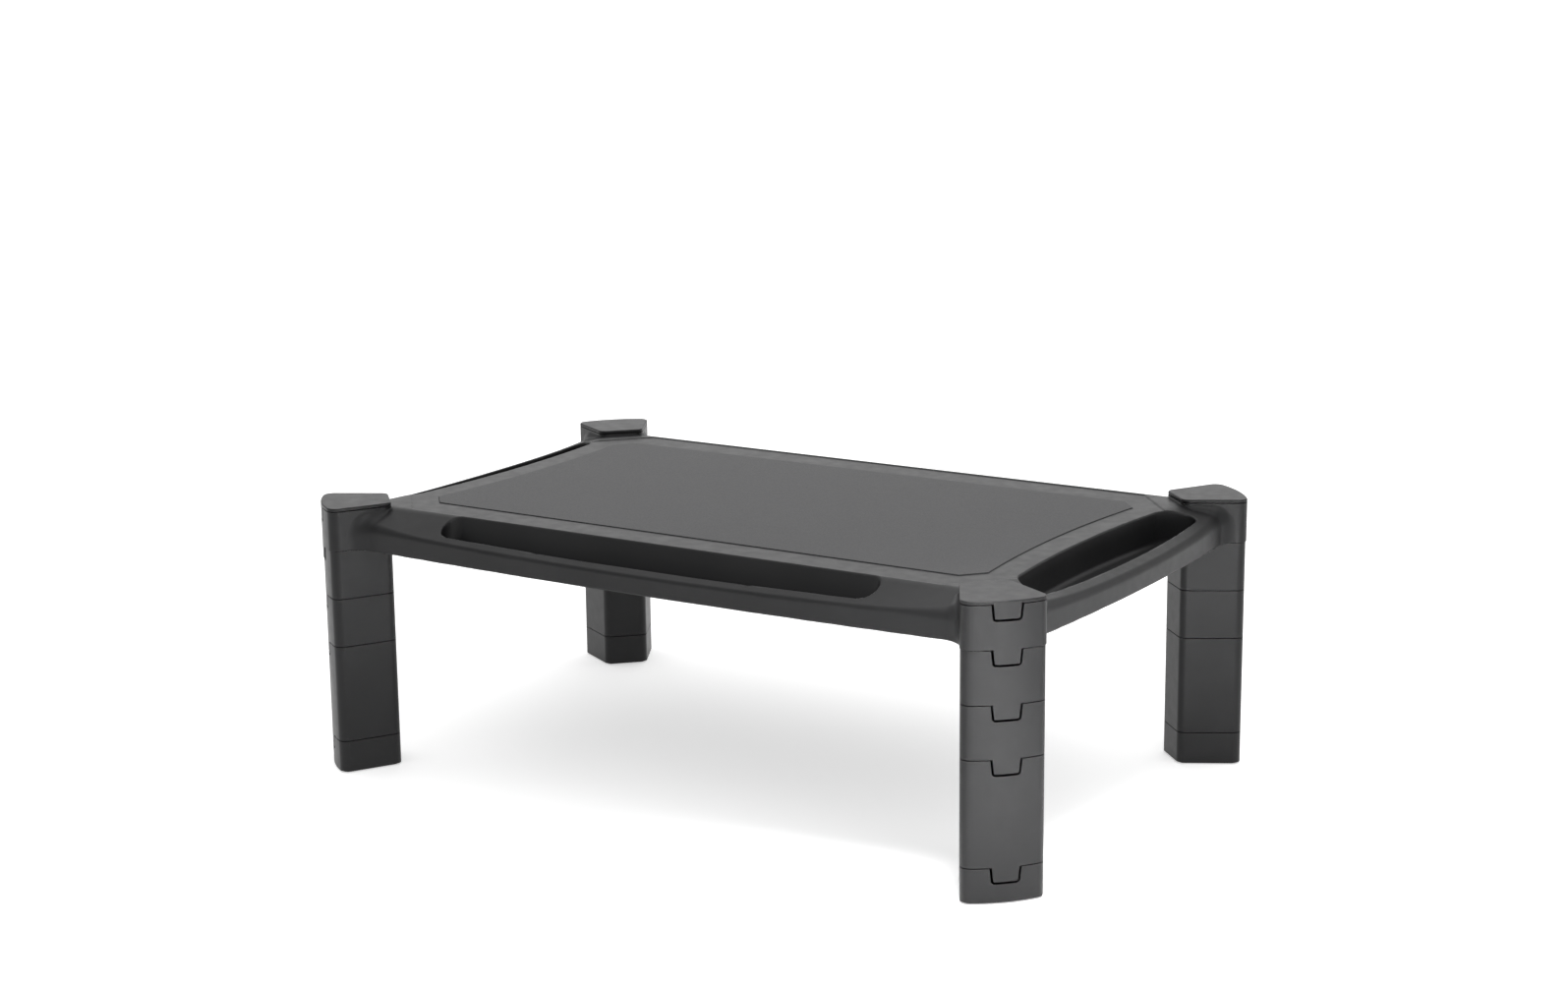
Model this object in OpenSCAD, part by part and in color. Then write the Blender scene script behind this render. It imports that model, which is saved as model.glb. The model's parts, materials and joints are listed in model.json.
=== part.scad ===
// Height-adjustable desk riser: a moulded platform on four columns of stacking modules.
// The origin is on the floor under the middle of the platform. +X is the user's right, -Y the user's side.

/* [Platform] */
// Width across the middle of the two side edges
body_w = 486; // [420:1:600]
// Depth across the middle of the two long edges
body_d = 312; // [256:1:380]
// Outward bow of each side edge
bow_x = 4.5; // [1:0.5:8]
// Outward bow of each long edge
bow_y = 6; // [1:0.5:10]
// Height of the deck above the bottom of the apron
deck_h = 23; // [18:0.5:34]
// Thickness of the deck
deck_t = 3; // [2.4:0.1:4]
// Wall of the apron, the trays and the columns
wall = 2.6; // [2:0.1:3.2]
// Height of the front and rear rim above the bottom of the apron, at the middle
rim_h_y = 11; // [8:0.5:14]
// Height of the side rim above the bottom of the apron, at the middle
rim_h_x = 12.3; // [8:0.5:14]
// Rise of every rim from its middle to the posts
rim_rise = 2.4; // [0:0.2:4]
// Width of the slope between a side edge and the deck
slope_x = 37.5; // [34:0.5:44]
// Width of the slope between a long edge and the deck
slope_y = 26; // [22:0.5:32]
// Hollow of each side of the deck, measured at the posts
deck_hollow = 10; // [0:0.5:12]
// Run of the rounded web that joins an edge to a post
web_run = 9; // [4:0.5:11]
// Reach of the sweep of the rim up the corners of each post
sweep_run = 14; // [8:1:20]
// Depth of the ribs under the deck
rib_h = 6; // [3:0.5:10]
// Thickness of a rib at its root
rib_t = 2; // [1.6:0.1:2.6]
// Thickness of a rib at its tip, less than at its root so that it leaves the mould
rib_tip = 1.4; // [1:0.1:1.5]

/* [Trays] */
// Width of the rim beside a side pocket
rim_w_x = 9.5; // [7:0.5:13]
// Width of the rim in front of the pen tray
rim_w_y = 6; // [5:0.5:9]
// Distance from a post's reference point to the near end of a side pocket
pocket_gap = 26; // [22:0.5:40]
// Distance from a post's reference point to the end of the pen tray
tray_gap = 57; // [40:1:90]
// Bite of the trays into the edge of the deck
tray_bite = 1; // [0.5:0.1:2]
// Rounding of the corners of the trays
tray_round = 10; // [6:0.5:12]
// Thickness of the floor of the trays
tray_floor = 3; // [2:0.5:5]

/* [Deck panel and mat] */
// Depth of the deck panel below the border that frames it
panel_step = 0.6; // [0.3:0.1:1]
// Width of the raised border along the long edges
border_w = 3; // [2:0.5:6]
// Distance along X from a post's reference point to the crease that cuts the corner of the panel
crease_x = 23; // [20:0.5:30]
// Distance along Y from a post's reference point to the outer end of the crease
crease_y = 24; // [20:0.5:26]
// Thickness of the non-slip mat
mat_t = 1.2; // [0.8:0.1:2]
// Depth of the seat of the mat in the deck
mat_sink = 0.7; // [0.3:0.1:0.8]
// Distance from the sides of the deck to the mat
mat_in_x = 18.5; // [12:0.5:30]
// Distance from the long border to the mat
mat_in_y = 22.5; // [12:0.5:34]
// Size of the cut corners of the mat
mat_cut = 13; // [6:0.5:20]
// Play around the mat in its seat
mat_play = 0.4; // [0.2:0.1:0.8]

/* [Columns] */
// Distance from a side edge to a post's reference point
post_in_x = 36; // [34:0.5:40]
// Distance from a long edge to a post's reference point
post_in_y = 33.9; // [32:0.5:38]
// Length of a column's section, from its inner face to the top of its crown
column_l = 40.7; // [38:0.1:46]
// Width of a column at its outer corners
column_w = 48.8; // [44:0.2:59]
// Width of a column at its inner face
column_nose = 28; // [24:0.2:32]
// Crown of the outer face of a column
column_crown = 4.1; // [2:0.1:6]
// Rounding of the two outer corners of a column
round_out = 5.6; // [4.5:0.1:8]
// Rounding of the two inner corners of a column
round_in = 4.9; // [4.5:0.1:8]
// Extra size of a post over the modules under it
post_proud = 0.5; // [0:0.1:1]

/* [Modules] */
// Height of a foot, with its pad
foot_h = 20; // [18:0.5:40]
// Height of a tall riser
tall_h = 60; // [30:1:120]
// Height of a short riser
short_h = 30; // [20:1:60]
// Height of a post above the bottom of the apron
post_h = 24.6; // [20:0.2:36]
// Thickness of a cap
cap_t = 2.3; // [1.8:0.1:4]
// Length of a riser's spigot
spigot_h = 12; // [9:0.5:14]
// Wall of a spigot
spigot_t = 1.8; // [1.4:0.1:2.4]
// Length of a cap's spigot
cap_spigot_h = 6; // [4:0.5:10]
// Play between a spigot and its socket
fit_play = 0.35; // [0.3:0.05:0.6]
// Thickness of the floor plate of a module
plate_t = 2.5; // [2:0.1:4]
// Depth of the groove along each seam
seam = 0.5; // [0.3:0.1:0.8]
// Bevel around the top of a cap
cap_bevel = 0.8; // [0.4:0.1:1.2]
// Thickness of a rubber pad
pad_t = 2.5; // [2:0.1:4]
// Distance that a pad stands out below its foot
pad_proud = 1; // [0.5:0.1:1.5]
// Distance from the edge of a foot to its pad
pad_in = 2; // [1.5:0.1:3.5]

/* [Latches] */
// Width of a latch tongue at its root
tongue_w = 15.2; // [12:0.1:20]
// Width of a latch tongue at its tip
tongue_tip = 13.6; // [10:0.1:18]
// Length of a latch tongue
tongue_h = 7.6; // [6:0.1:10]
// Rounding of the tip of a latch tongue
tongue_round = 1.6; // [0.8:0.1:3]
// Gap around a latch tongue
latch_gap = 0.9; // [0.5:0.1:1.5]

/* [Hidden] */

plastic = [0.15, 0.15, 0.16];
mat_black = [0.09, 0.09, 0.1];
rubber_black = [0.05, 0.05, 0.05];

// Corners, counted round from the rear right
REAR_RIGHT = 0;
REAR_LEFT = 1;
FRONT_LEFT = 2;
FRONT_RIGHT = 3;

// Heights of the seams
tall_z = foot_h;
middle_z = tall_z + tall_h;
upper_z = middle_z + short_h;
base_z = upper_z + short_h;
cap_z = base_z + post_h;

half_w = body_w / 2;
half_d = body_d / 2;
post_x = half_w - post_in_x;
post_y = half_d - post_in_y;
// Half width between the creases that cut the corners of the deck panel
panel_y = half_d - slope_y - border_w;
// Overlap of solids that are joined or cut
lap = 1;
// Smallest rounding of an inner corner
sharp = 0.3;
// Number of steps along an edge, a rounded web and an arc
edge_steps = 10;
web_steps = 4;
arc_steps = 5;

function lerp(a, b, t) = a + (b - a) * t;
function unit(a) = a / norm(a);
// A curve from a to b that leaves a towards k and arrives at b from k
function bend(a, k, b, t) = lerp(lerp(a, k, t), lerp(k, b, t), t);
function bends(a, k, b, n) = [for (i = [0:n]) bend(a, k, b, i / n)];
function polar(r, a) = r * [cos(a), sin(a)];
function arc(c, r, a, b) = [for (i = [0:arc_steps]) c + polar(r, lerp(a, b, i / arc_steps))];
function flip_x(p) = [for (i = [len(p) - 1:-1:0]) [-p[i].x, p[i].y]];
function flip_y(p) = [for (i = [len(p) - 1:-1:0]) [p[i].x, -p[i].y]];
// Where the line from a to b reaches the height y, or the distance x
function at_y(a, b, y) = lerp(a, b, (y - a.y) / (b.y - a.y));
function at_x(a, b, x) = lerp(a, b, (x - a.x) / (b.x - a.x));

// The section of a column, with u along X away from the platform's middle and v along Y.
crown_r = (pow(column_w / 2, 2) + pow(column_crown, 2)) / (2 * column_crown);
crown_c = [column_l - crown_r, 0];
side_a = atan2((column_w - column_nose) / 2, column_l - column_crown);
side_dir = [cos(side_a), sin(side_a)];
side_in = [sin(side_a), -cos(side_a)];
nose_corner = [0, column_nose / 2];
tip_corner = [column_l - column_crown, column_w / 2];
// The centres of the rounded corners of a section drawn in by d, where e is the distance to the sides
function nose_c(e) = nose_corner + e * side_in + e * (1 - side_in.x) / side_dir.x * side_dir;
function tip_c(e) =
    let (start = nose_corner + e * side_in - crown_c, b = start * side_dir)
    crown_c + start + (sqrt(b * b - start * start + pow(crown_r - e, 2)) - b) * side_dir;
// A section drawn in past its rounding keeps sharp corners
function section_half(d) =
    let (e_in = max(round_in, d + sharp), e_out = max(round_out, d + sharp), tip = tip_c(e_out),
        tip_a = atan2(tip.y, tip.x - crown_c.x))
    concat(
        [for (i = [1:arc_steps - 1]) crown_c + polar(crown_r - d, tip_a * i / arc_steps)],
        arc(tip, e_out - d, tip_a, 90 + side_a),
        arc(nose_c(e_in), e_in - d, 90 + side_a, 180));
function section(d) = concat([crown_c + [crown_r - d, 0]], section_half(d), flip_y(section_half(d)));

module column(d, z0, z1) {
    translate([0, 0, z0]) linear_extrude(z1 - z0) polygon(section(d));
}

module at_post(corner) {
    side = corner == REAR_RIGHT || corner == FRONT_RIGHT ? 1 : -1;
    end = corner == REAR_RIGHT || corner == REAR_LEFT ? 1 : -1;
    translate([side * post_x, end * post_y, 0]) rotate(45 + 90 * corner) children();
}

// The outline of a latch tongue that hangs from z = 0, grown by g
function tongue_half(g) =
    let (root = tongue_w / 2 + g, tip = tongue_tip / 2 + g, low = -tongue_h - g, r = tongue_round + g)
    concat([[root, lap], [root, 0]],
        bends([lerp(tip, root, r / -low), low + r], [tip, low], [tip - r, low], web_steps));
module tongue_bar(g) {
    rotate([90, 0, 90]) linear_extrude(column_l + lap) polygon(concat(tongue_half(g), flip_x(tongue_half(g))));
}
// A tongue flush with the outer face of its module, drawn in by d
module tongue(d) {
    intersection() {
        tongue_bar(0);
        difference() {
            column(d, -tongue_h - lap, plate_t);
            column(wall, -tongue_h - 2 * lap, plate_t + lap);
        }
        translate([column_l / 2, -column_w / 2, -tongue_h - lap])
            cube([column_l, column_w, tongue_h + lap + seam]);
    }
}
// The notch that takes the tongue, at the top rim z of a module
module notch(z) {
    translate([column_l / 2, 0, z]) tongue_bar(latch_gap);
}

// The spigot below a module's floor, open behind the tongue so that the tongue can be pressed in
module spigot(h) {
    difference() {
        column(wall + fit_play, -h, lap);
        column(wall + fit_play + spigot_t, -h - lap, 2 * lap);
        translate([column_l / 2, -tongue_w / 2 - lap, -h - lap])
            cube([column_l, tongue_w + 2 * lap, h + lap]);
    }
}

// A module of height h: a tube with a floor plate, a socket above and a spigot below
module riser(h) {
    difference() {
        union() {
            column(0, seam, h);
            column(seam, 0, seam + lap);
        }
        column(wall, plate_t, h + lap);
        notch(h);
    }
    spigot(spigot_h);
    tongue(0);
}

module cap(corner) {
    color(plastic) translate([0, 0, cap_z]) at_post(corner) {
        column(seam, 0, seam + lap);
        hull() {
            column(-post_proud, seam, cap_t - cap_bevel);
            column(cap_bevel - post_proud, seam, cap_t);
        }
        spigot(cap_spigot_h);
        tongue(-post_proud);
    }
}

module upper_riser(corner) {
    color(plastic) translate([0, 0, upper_z]) at_post(corner) riser(short_h);
}

module middle_riser(corner) {
    color(plastic) translate([0, 0, middle_z]) at_post(corner) riser(short_h);
}

module tall_riser(corner) {
    color(plastic) translate([0, 0, tall_z]) at_post(corner) riser(tall_h);
}

module foot(corner) {
    color(plastic) at_post(corner) difference() {
        column(0, pad_proud, foot_h);
        column(wall, pad_t + plate_t, foot_h + lap);
        column(pad_in, pad_proud - lap, pad_t);
        notch(foot_h);
    }
}

module pad(corner) {
    color(rubber_black) at_post(corner) column(pad_in, 0, pad_t);
}

// The corners of a post's section in the platform's first quarter: along the rear side and the outer side
function placed(p, v) = [post_x + (p.x - v * p.y) * sqrt(0.5), post_y + (p.x + v * p.y) * sqrt(0.5)];
rear_nose = placed(nose_corner, 1);
rear_tip = placed(tip_corner, 1);
side_nose = placed(nose_corner, -1);
side_tip = placed(tip_corner, -1);

// The edges of the platform drawn in by d, and the knee where each one meets a post
function rear_knee(d) = at_y(rear_nose, rear_tip, half_d - bow_y - d);
function side_knee(d) = at_x(side_nose, side_tip, half_w - bow_x - d);
function rear_edge(x, d) = half_d - d - bow_y * pow(x / rear_knee(d).x, 2);
function side_edge(y, d) = half_w - d - bow_x * pow(y / side_knee(d).y, 2);
function deck_side(y) = half_w - slope_x + deck_hollow * pow(y / post_y, 2);
function rear_web(d) =
    let (k = rear_knee(d), x = k.x - web_run)
    bends([x, rear_edge(x, d)], k, k + web_run * unit(rear_tip - rear_nose), web_steps);
function side_web(d) =
    let (k = side_knee(d), y = k.y - web_run)
    bends([side_edge(y, d), y], k, k + web_run * unit(side_tip - side_nose), web_steps);

// The rim of a quarter of the platform, from the middle of the side to the middle of the rear
function rim_quarter(d) =
    let (y1 = side_knee(d).y - web_run, x1 = rear_knee(d).x - web_run)
    concat([for (i = [0:edge_steps - 1]) [side_edge(y1 * i / edge_steps, d), y1 * i / edge_steps]],
        side_web(d), [placed(tip_c(round_out), -1), placed(tip_c(round_out), 1)],
        [for (i = [web_steps:-1:0]) rear_web(d)[i]],
        [for (i = [edge_steps - 1:-1:0]) [x1 * i / edge_steps, rear_edge(x1 * i / edge_steps, d)]]);
// The rim sweeps up to just under the top of the post as it comes near the post's outer corner
rim_under = 0.2;
sweep_power = 0.8;
function sweep(p, tip, h) =
    (post_h - h - rim_rise - rim_under) * exp(-pow(norm(p - tip) / sweep_run, sweep_power));
function rim_z(p, i, n) = 2 * i < n
    ? rim_h_x + rim_rise * pow(min(1, p.y / side_knee(0).y), 2) + sweep(p, side_tip, rim_h_x)
    : rim_h_y + rim_rise * pow(min(1, p.x / rear_knee(0).x), 2) + sweep(p, rear_tip, rim_h_y);
// The edge of the deck, point by point opposite the rim, runs on into each post
deck_in = 2;
function deck_quarter() =
    let (y1 = side_nose.y - deck_in, x1 = rear_nose.x - deck_in, m = 2 * web_steps + 3)
    concat([for (i = [0:edge_steps - 1]) let (y = y1 * i / edge_steps) [deck_side(y), y]],
        [for (i = [0:m]) placed([deck_in, lerp(lap - column_nose / 2, column_nose / 2 - lap, i / m)], 1)],
        [for (i = [edge_steps - 1:-1:0]) [x1 * i / edge_steps, half_d - slope_y]]);

function lifted(p, z) = [for (i = [0:len(p) - 1]) [p[i].x, p[i].y, z]];
function rim_ring(d, drop) =
    let (p = rim_quarter(d)) [for (i = [0:len(p) - 1]) [p[i].x, p[i].y, rim_z(p[i], i, len(p)) - drop]];
// The whole way round from a quarter that starts on the X axis and ends on the Y axis
function around(q) =
    let (n = len(q) - 1)
    concat(q, [for (i = [n - 1:-1:0]) [-q[i].x, q[i].y, q[i].z]],
        [for (i = [1:n]) [-q[i].x, -q[i].y, q[i].z]], [for (i = [n - 1:-1:1]) [q[i].x, -q[i].y, q[i].z]]);

// A closed skin over rings of equal length, each above the last
module skin(rings) {
    n = len(rings[0]);
    top = (len(rings) - 1) * n;
    polyhedron(points = [for (r = rings, p = r) p],
        faces = concat([[for (i = [0:n - 1]) i]], [[for (i = [n - 1:-1:0]) top + i]],
            [for (a = [0:n:top - n], i = [0:n - 1]) [a + i, a + n + i, a + n + (i + 1) % n]],
            [for (a = [0:n:top - n], i = [0:n - 1]) [a + i, a + n + (i + 1) % n, a + (i + 1) % n]]));
}
module outer_skin() {
    skin([around(lifted(rim_quarter(0), 0)), around(rim_ring(0, 0)),
        around(lifted(deck_quarter(), deck_h + panel_step))]);
}
module inner_skin() {
    skin([around(lifted(rim_quarter(wall), -lap)), around(rim_ring(wall, deck_t)),
        around(lifted(deck_quarter(), deck_h - deck_t))]);
}

// Half the outline of the right pocket, grown by g, from its inner side to its outer side
pocket_y = post_y - pocket_gap;
function pocket_in(y, g) = deck_side(y) - tray_bite - g;
function pocket_out(y, g) = side_edge(y, 0) - rim_w_x + g;
function pocket_half(g) =
    let (r = tray_round + g, y_a = pocket_y + g, y_b = y_a + tray_round,
        a = [pocket_in(y_a, g), y_a], b = [pocket_out(y_b, g), y_b], m = unit(b - a) * r)
    concat([for (i = [0:edge_steps - 1]) let (t = (y_b - r) * i / edge_steps) [pocket_out(t, g), t]],
        bends([pocket_out(y_b - r, g), y_b - r], b, b - m, web_steps),
        bends(a + m, a, [pocket_in(y_a - r, g), y_a - r], web_steps),
        [for (i = [edge_steps - 1:-1:0]) let (t = (y_a - r) * i / edge_steps) [pocket_in(t, g), t]]);
// Half the outline of a tray along the rear edge, grown by g, from its outer side to its inner side
tray_x = post_x - tray_gap;
function tray_out(x, g) = rear_edge(x, 0) - rim_w_y + g;
function tray_half(g) =
    let (x = tray_x + g, x_r = tray_x - tray_round, y_in = half_d - slope_y - tray_bite - g,
        mid = [x, (tray_out(x, g) + y_in) / 2])
    concat([for (i = [0:edge_steps - 1]) let (t = x_r * i / edge_steps) [t, tray_out(t, g)]],
        bends([x_r, tray_out(x_r, g)], [x, tray_out(x, g)], mid, web_steps),
        bends(mid, [x, y_in], [x_r, y_in], web_steps));
module pocket_area(g) {
    p = pocket_half(g);
    polygon(concat(p, [for (i = [len(p) - 1:-1:1]) [p[i].x, -p[i].y]]));
}
module tray_area(g) {
    p = tray_half(g);
    mirror([0, 1]) polygon(concat(p, [for (i = [len(p) - 1:-1:1]) [-p[i].x, p[i].y]]));
}
// The two pockets and the pen tray, from height z up, grown by g
module trays(z, g) {
    translate([0, 0, z]) linear_extrude(2 * deck_h) {
        pocket_area(g);
        mirror([1, 0]) pocket_area(g);
        tray_area(g);
    }
}

// The deck panel: its corners are cut by a crease, and it runs out over the side edges
module panel_area() {
    cut = [post_x - crease_x, panel_y];
    far = [post_x + deck_in, post_y - crease_y];
    half = [[half_w, far.y], far, cut];
    right = concat(flip_y(half), half);
    polygon(concat(right, [for (i = [len(right) - 1:-1:0]) [-right[i].x, right[i].y]]));
}

// Half the outline of the mat, grown by g
function mat_half(g) =
    let (y = panel_y - mat_in_y + g, y_c = y - mat_cut)
    concat([for (i = [0:edge_steps]) let (t = y_c * i / edge_steps) [deck_side(t) - mat_in_x + g, t]],
        [[deck_side(y) - mat_in_x + g - mat_cut, y]]);
module mat_area(g) {
    right = concat(flip_y(mat_half(g)), [for (i = [1:len(mat_half(g)) - 1]) mat_half(g)[i]]);
    polygon(concat(right, [for (i = [len(right) - 1:-1:0]) [-right[i].x, right[i].y]]));
}

module mat() {
    color(mat_black) translate([0, 0, base_z + deck_h - mat_sink]) linear_extrude(mat_t) mat_area(0);
}

// Ribs under the deck, spaced evenly across it
rib_rows = 7;
rib_columns = 11;
module rib(length) {
    hull() {
        translate([-length / 2, -rib_tip / 2, deck_h - deck_t - rib_h]) cube([length, rib_tip, lap]);
        translate([-length / 2, -rib_t / 2, deck_h - deck_t]) cube([length, rib_t, lap]);
    }
}
module ribs() {
    for (i = [1:rib_columns - 1])
        translate([lerp(-half_w, half_w, i / rib_columns), 0, 0]) rotate(90) rib(body_d);
    for (i = [1:rib_rows - 1])
        translate([0, lerp(-half_d, half_d, i / rib_rows), 0]) rib(body_w);
}

// The hollow under the deck, less the ribs, the posts and the walls and floors of the trays
module underside() {
    difference() {
        inner_skin();
        trays(-2 * lap, wall);
        ribs();
        for (corner = [0:3]) at_post(corner) column(-post_proud, -2 * lap, post_h);
    }
}

module platform() {
    color(plastic) translate([0, 0, base_z]) {
        difference() {
            union() {
                outer_skin();
                for (corner = [0:3]) at_post(corner) column(-post_proud, 0, post_h);
            }
            underside();
            trays(tray_floor, 0);
            translate([0, 0, deck_h]) linear_extrude(deck_h) panel_area();
            translate([0, 0, deck_h - mat_sink]) linear_extrude(deck_h) mat_area(mat_play);
            for (corner = [0:3]) at_post(corner) {
                column(wall, plate_t, post_h + lap);
                notch(post_h);
            }
        }
        for (corner = [0:3]) at_post(corner) {
            spigot(spigot_h);
            tongue(0);
        }
    }
}

platform();
mat();
cap(FRONT_LEFT);  // cap_front_left
cap(FRONT_RIGHT);  // cap_front_right
cap(REAR_LEFT);  // cap_rear_left
cap(REAR_RIGHT);  // cap_rear_right
upper_riser(FRONT_LEFT);  // upper_riser_front_left
upper_riser(FRONT_RIGHT);  // upper_riser_front_right
upper_riser(REAR_LEFT);  // upper_riser_rear_left
upper_riser(REAR_RIGHT);  // upper_riser_rear_right
middle_riser(FRONT_LEFT);  // middle_riser_front_left
middle_riser(FRONT_RIGHT);  // middle_riser_front_right
middle_riser(REAR_LEFT);  // middle_riser_rear_left
middle_riser(REAR_RIGHT);  // middle_riser_rear_right
tall_riser(FRONT_LEFT);  // tall_riser_front_left
tall_riser(FRONT_RIGHT);  // tall_riser_front_right
tall_riser(REAR_LEFT);  // tall_riser_rear_left
tall_riser(REAR_RIGHT);  // tall_riser_rear_right
foot(FRONT_LEFT);  // foot_front_left
foot(FRONT_RIGHT);  // foot_front_right
foot(REAR_LEFT);  // foot_rear_left
foot(REAR_RIGHT);  // foot_rear_right
pad(FRONT_LEFT);  // pad_front_left
pad(FRONT_RIGHT);  // pad_front_right
pad(REAR_LEFT);  // pad_rear_left
pad(REAR_RIGHT);  // pad_rear_right
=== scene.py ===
import json
import math

import bmesh
import bpy
import numpy as np
from mathutils import Matrix, Vector

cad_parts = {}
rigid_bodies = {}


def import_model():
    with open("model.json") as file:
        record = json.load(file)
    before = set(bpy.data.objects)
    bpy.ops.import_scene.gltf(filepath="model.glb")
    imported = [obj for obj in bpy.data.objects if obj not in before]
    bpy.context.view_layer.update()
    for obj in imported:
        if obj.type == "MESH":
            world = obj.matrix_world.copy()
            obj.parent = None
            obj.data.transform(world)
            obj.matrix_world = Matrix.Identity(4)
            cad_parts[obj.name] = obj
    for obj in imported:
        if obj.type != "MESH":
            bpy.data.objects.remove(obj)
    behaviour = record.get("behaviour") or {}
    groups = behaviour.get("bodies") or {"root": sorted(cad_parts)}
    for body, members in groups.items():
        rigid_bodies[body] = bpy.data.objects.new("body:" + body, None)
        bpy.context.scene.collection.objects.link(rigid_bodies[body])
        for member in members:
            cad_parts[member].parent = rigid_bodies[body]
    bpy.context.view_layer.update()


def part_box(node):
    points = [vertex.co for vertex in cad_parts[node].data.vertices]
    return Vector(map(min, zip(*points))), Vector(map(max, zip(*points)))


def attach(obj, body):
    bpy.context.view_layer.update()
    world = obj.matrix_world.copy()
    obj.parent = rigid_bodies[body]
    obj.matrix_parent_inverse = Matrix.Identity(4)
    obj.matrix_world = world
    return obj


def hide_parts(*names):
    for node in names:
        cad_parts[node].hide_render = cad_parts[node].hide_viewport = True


for extra in list(bpy.data.objects):
    bpy.data.objects.remove(extra)
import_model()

# ---- Black moulded plastic ----
# The platform, the caps and every module of the columns are injection moulded in black ABS. The mould is
# spark-eroded, so the faces have a fine satin grain, and the melt's flow leaves the gloss a little uneven.
mm = 0.001


def new_material(name):
    """An empty node material, its shader, and a function that adds nodes to it."""
    material = bpy.data.materials.new(name)
    material.use_nodes = True
    tree = material.node_tree
    shader = tree.nodes["Principled BSDF"]

    def add(kind, **values):
        node = tree.nodes.new(kind)
        for key, value in values.items():
            if key in node.inputs:
                node.inputs[key].default_value = value
            else:
                setattr(node, key, value)
        return node

    return material, shader, add, tree.links.new


def grain(add, link, size, detail=2.0, roughness=0.5):
    """Noise whose grains have that size, in metres, measured on the piece itself."""
    place = add("ShaderNodeTexCoord")
    noise = add("ShaderNodeTexNoise", Scale=1 / size, Detail=detail, Roughness=roughness)
    link(place.outputs["Object"], noise.inputs["Vector"])
    return noise.outputs["Fac"]


def between(add, link, factor, low, high, from_low=0.3, from_high=0.7):
    """A value that follows the factor from low to high."""
    node = add("ShaderNodeMapRange")
    node.inputs["From Min"].default_value = from_low
    node.inputs["From Max"].default_value = from_high
    node.inputs["To Min"].default_value = low
    node.inputs["To Max"].default_value = high
    link(factor, node.inputs["Value"])
    return node.outputs["Result"]


def tinted(add, link, factor, dark, light):
    """A colour that follows the factor from dark to light."""
    ramp = add("ShaderNodeValToRGB")
    ramp.color_ramp.elements[0].position = 0.3
    ramp.color_ramp.elements[0].color = (*dark, 1)
    ramp.color_ramp.elements[1].position = 0.7
    ramp.color_ramp.elements[1].color = (*light, 1)
    link(factor, ramp.inputs["Fac"])
    return ramp.outputs["Color"]


def bumped(add, link, height, depth, strength, under=None):
    """A normal for a relief of that depth, laid over another one."""
    bump = add("ShaderNodeBump", Distance=depth, Strength=strength)
    link(height, bump.inputs["Height"])
    if under is not None:
        link(under, bump.inputs["Normal"])
    return bump.outputs["Normal"]


def satin_plastic():
    flow_size = 60 * mm
    cloud_size = 7 * mm
    grain_size = 0.55 * mm
    fleck_size = 1.6 * mm
    material, shader, add, link = new_material("satin_plastic")
    flow = grain(add, link, flow_size)
    link(tinted(add, link, flow, (0.010, 0.010, 0.0105), (0.014, 0.014, 0.0145)), shader.inputs["Base Color"])
    cloud = between(add, link, grain(add, link, cloud_size, detail=4), 0.36, 0.42)
    link(cloud, shader.inputs["Roughness"])
    fine = bumped(add, link, grain(add, link, grain_size), 0.05 * mm, 0.35)
    coarse = bumped(add, link, grain(add, link, fleck_size), 0.05 * mm, 0.2, fine)
    link(coarse, shader.inputs["Normal"])
    shader.inputs["Specular IOR Level"].default_value = 0.22
    return material


plastic = satin_plastic()

# ---- Section of a column ----
# All four columns, from the foot to the cap, share one wedge-shaped section. Its narrow flat nose faces the
# middle of the platform and its wide crowned face looks out, with every upright corner rounded in the mould.
column_l = 40.7 * mm
column_w = 48.8 * mm
column_nose = 28 * mm
column_crown = 4.1 * mm
round_out = 5.6 * mm
round_in = 4.9 * mm
sharp = 0.3 * mm
post_proud = 0.5 * mm
crown_steps = 20
corner_steps = 10

crown_r = ((column_w / 2) ** 2 + column_crown**2) / (2 * column_crown)
crown_c = np.array([column_l - crown_r, 0])
side_a = math.atan2((column_w - column_nose) / 2, column_l - column_crown)
side_dir = np.array([math.cos(side_a), math.sin(side_a)])
side_in = np.array([math.sin(side_a), -math.cos(side_a)])
nose_corner = np.array([0, column_nose / 2])
tip_corner = np.array([column_l - column_crown, column_w / 2])


def nose_centre(e):
    """The centre of the rounding at the nose, where e is the distance to both faces."""
    return nose_corner + e * side_in + e * (1 - side_in[0]) / side_dir[0] * side_dir


def tip_centre(e):
    """The centre of the rounding beside the crowned face, where e is the distance to both faces."""
    start = nose_corner + e * side_in - crown_c
    b = start @ side_dir
    return crown_c + start + (math.sqrt(b * b - start @ start + (crown_r - e) ** 2) - b) * side_dir


def arc(centre, radius, start, end, steps):
    turn = np.linspace(start, end, steps + 1)
    return np.asarray(centre) + radius * np.stack([np.cos(turn), np.sin(turn)], 1)


def section(inset):
    """The outline of a column drawn in by inset: u runs out along the diagonal, v runs across."""
    e_out = max(round_out, inset + sharp)
    e_in = max(round_in, inset + sharp)
    tip = tip_centre(e_out)
    tip_a = math.atan2(tip[1], tip[0] - crown_c[0])
    crown = arc(crown_c, crown_r - inset, -tip_a, tip_a, crown_steps)
    upper = np.concatenate([
        arc(tip, e_out - inset, tip_a, math.pi / 2 + side_a, corner_steps)[1:],
        arc(nose_centre(e_in), e_in - inset, math.pi / 2 + side_a, math.pi, corner_steps),
    ])
    lower = upper[::-1] * [1, -1]
    return np.concatenate([crown, upper, lower[:-1]])


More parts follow.
